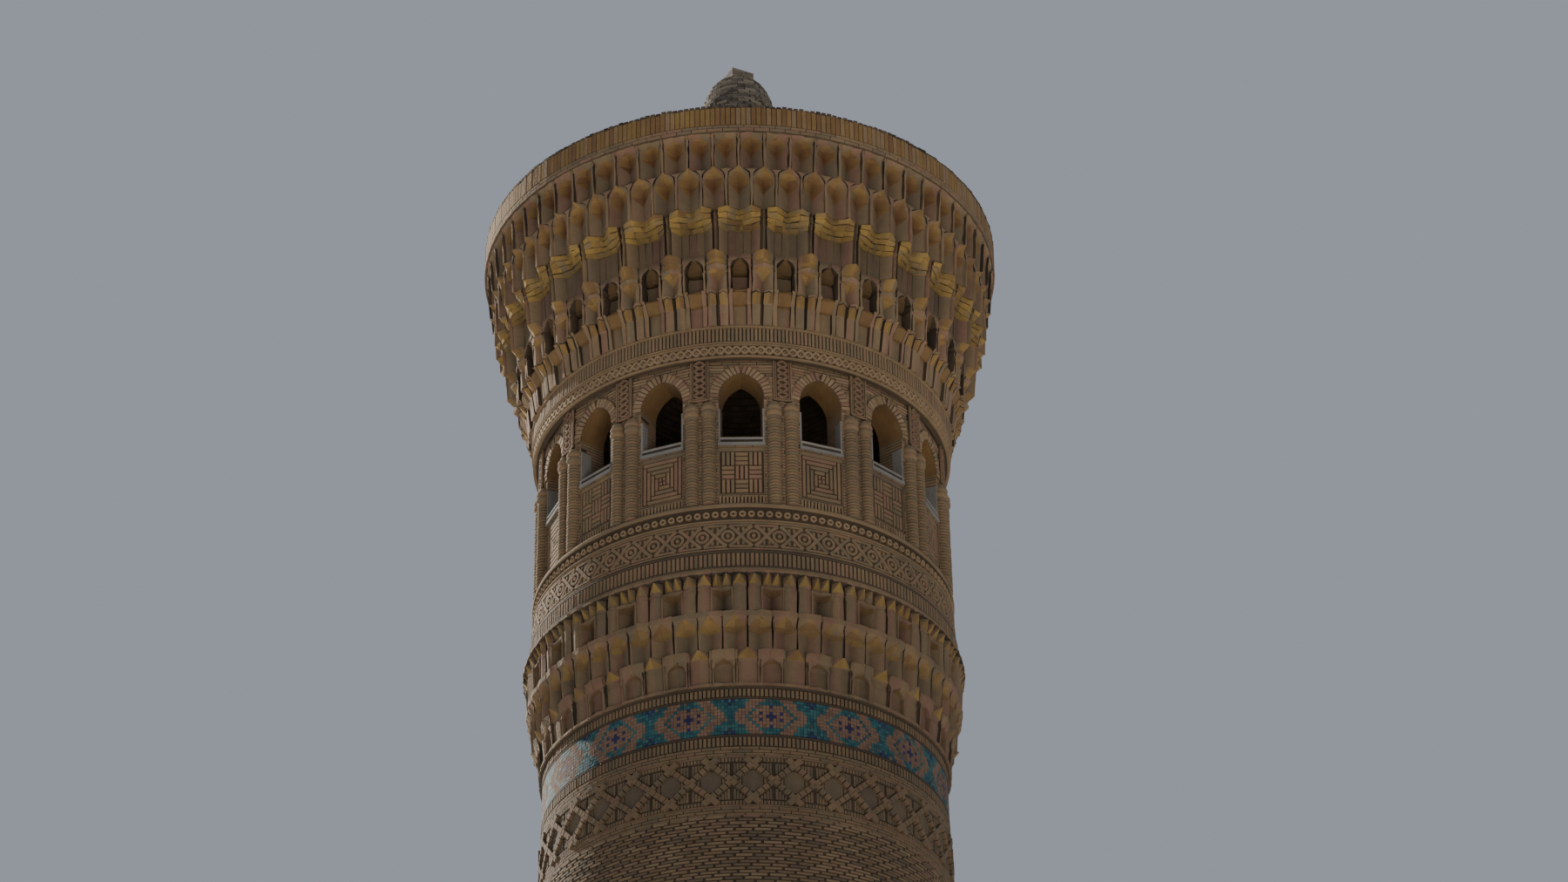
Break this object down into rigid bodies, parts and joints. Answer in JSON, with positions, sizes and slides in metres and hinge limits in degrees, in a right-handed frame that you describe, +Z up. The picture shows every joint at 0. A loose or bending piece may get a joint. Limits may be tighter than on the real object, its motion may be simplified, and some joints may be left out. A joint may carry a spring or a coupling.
{
  "type": "minaret 1:2 scale model",
  "caption": "Round brick minaret, scale model at half size: tapering shaft, decorated belts, arcaded lantern, niche cornice and small cupola.",
  "frame": {"origin": "centre of the plinth's underside", "axes": "+Z up along the tower's axis, -Y towards the viewer of the picture, doorway on +Y"},
  "size_m": [4.62, 4.62, 22.72],
  "materials": {
    "brick": "rough weathered fired brick",
    "pale_brick": "rough carved fired brick",
    "ochre_brick": "rough brick and plaster, ochre in the hoods",
    "glazed_tile": "glossy glaze between matt bricks"
  },
  "bodies": {
    "root": {"plinth": "brick", "shaft_wall_1": "brick", "shaft_wall_2": "brick", "shaft_wall_3": "brick", "shaft_wall_4": "brick", "shaft_wall_5": "brick", "shaft_wall_6": "brick", "shaft_wall_7": "brick", "shaft_wall_8": "brick", "door_jamb_left": "brick", "door_jamb_right": "brick", "door_arch": "brick", "lantern_floor": "brick", "lantern_bay_01": "brick", "lantern_bay_02": "brick", "lantern_bay_03": "brick", "lantern_bay_04": "brick", "lantern_bay_05": "brick", "lantern_bay_06": "brick", "lantern_bay_07": "brick", "lantern_bay_08": "brick", "lantern_bay_09": "brick", "lantern_bay_10": "brick", "lantern_bay_11": "brick", "lantern_bay_12": "brick", "lantern_bay_13": "brick", "lantern_bay_14": "brick", "lantern_bay_15": "brick", "lantern_bay_16": "brick", "cornice_wall_1": "brick", "cornice_wall_2": "brick", "cornice_wall_3": "brick", "cornice_wall_4": "brick", "lantern_vault": "brick", "roof_deck": "brick", "cupola": "brick", "cupola_cap": "brick", "girih_belt": "pale_brick", "star_belt": "pale_brick", "bead_belt": "pale_brick", "lantern_frieze": "pale_brick", "roof_rim": "pale_brick", "lower_muqarnas_1": "ochre_brick", "lower_muqarnas_2": "ochre_brick", "lower_muqarnas_3": "ochre_brick", "cornice_tier_1": "ochre_brick", "cornice_tier_2": "ochre_brick", "cornice_tier_3": "ochre_brick", "cornice_tier_4": "ochre_brick", "cornice_tier_5": "ochre_brick", "tile_belt": "glazed_tile"}
  },
  "joints": []
}
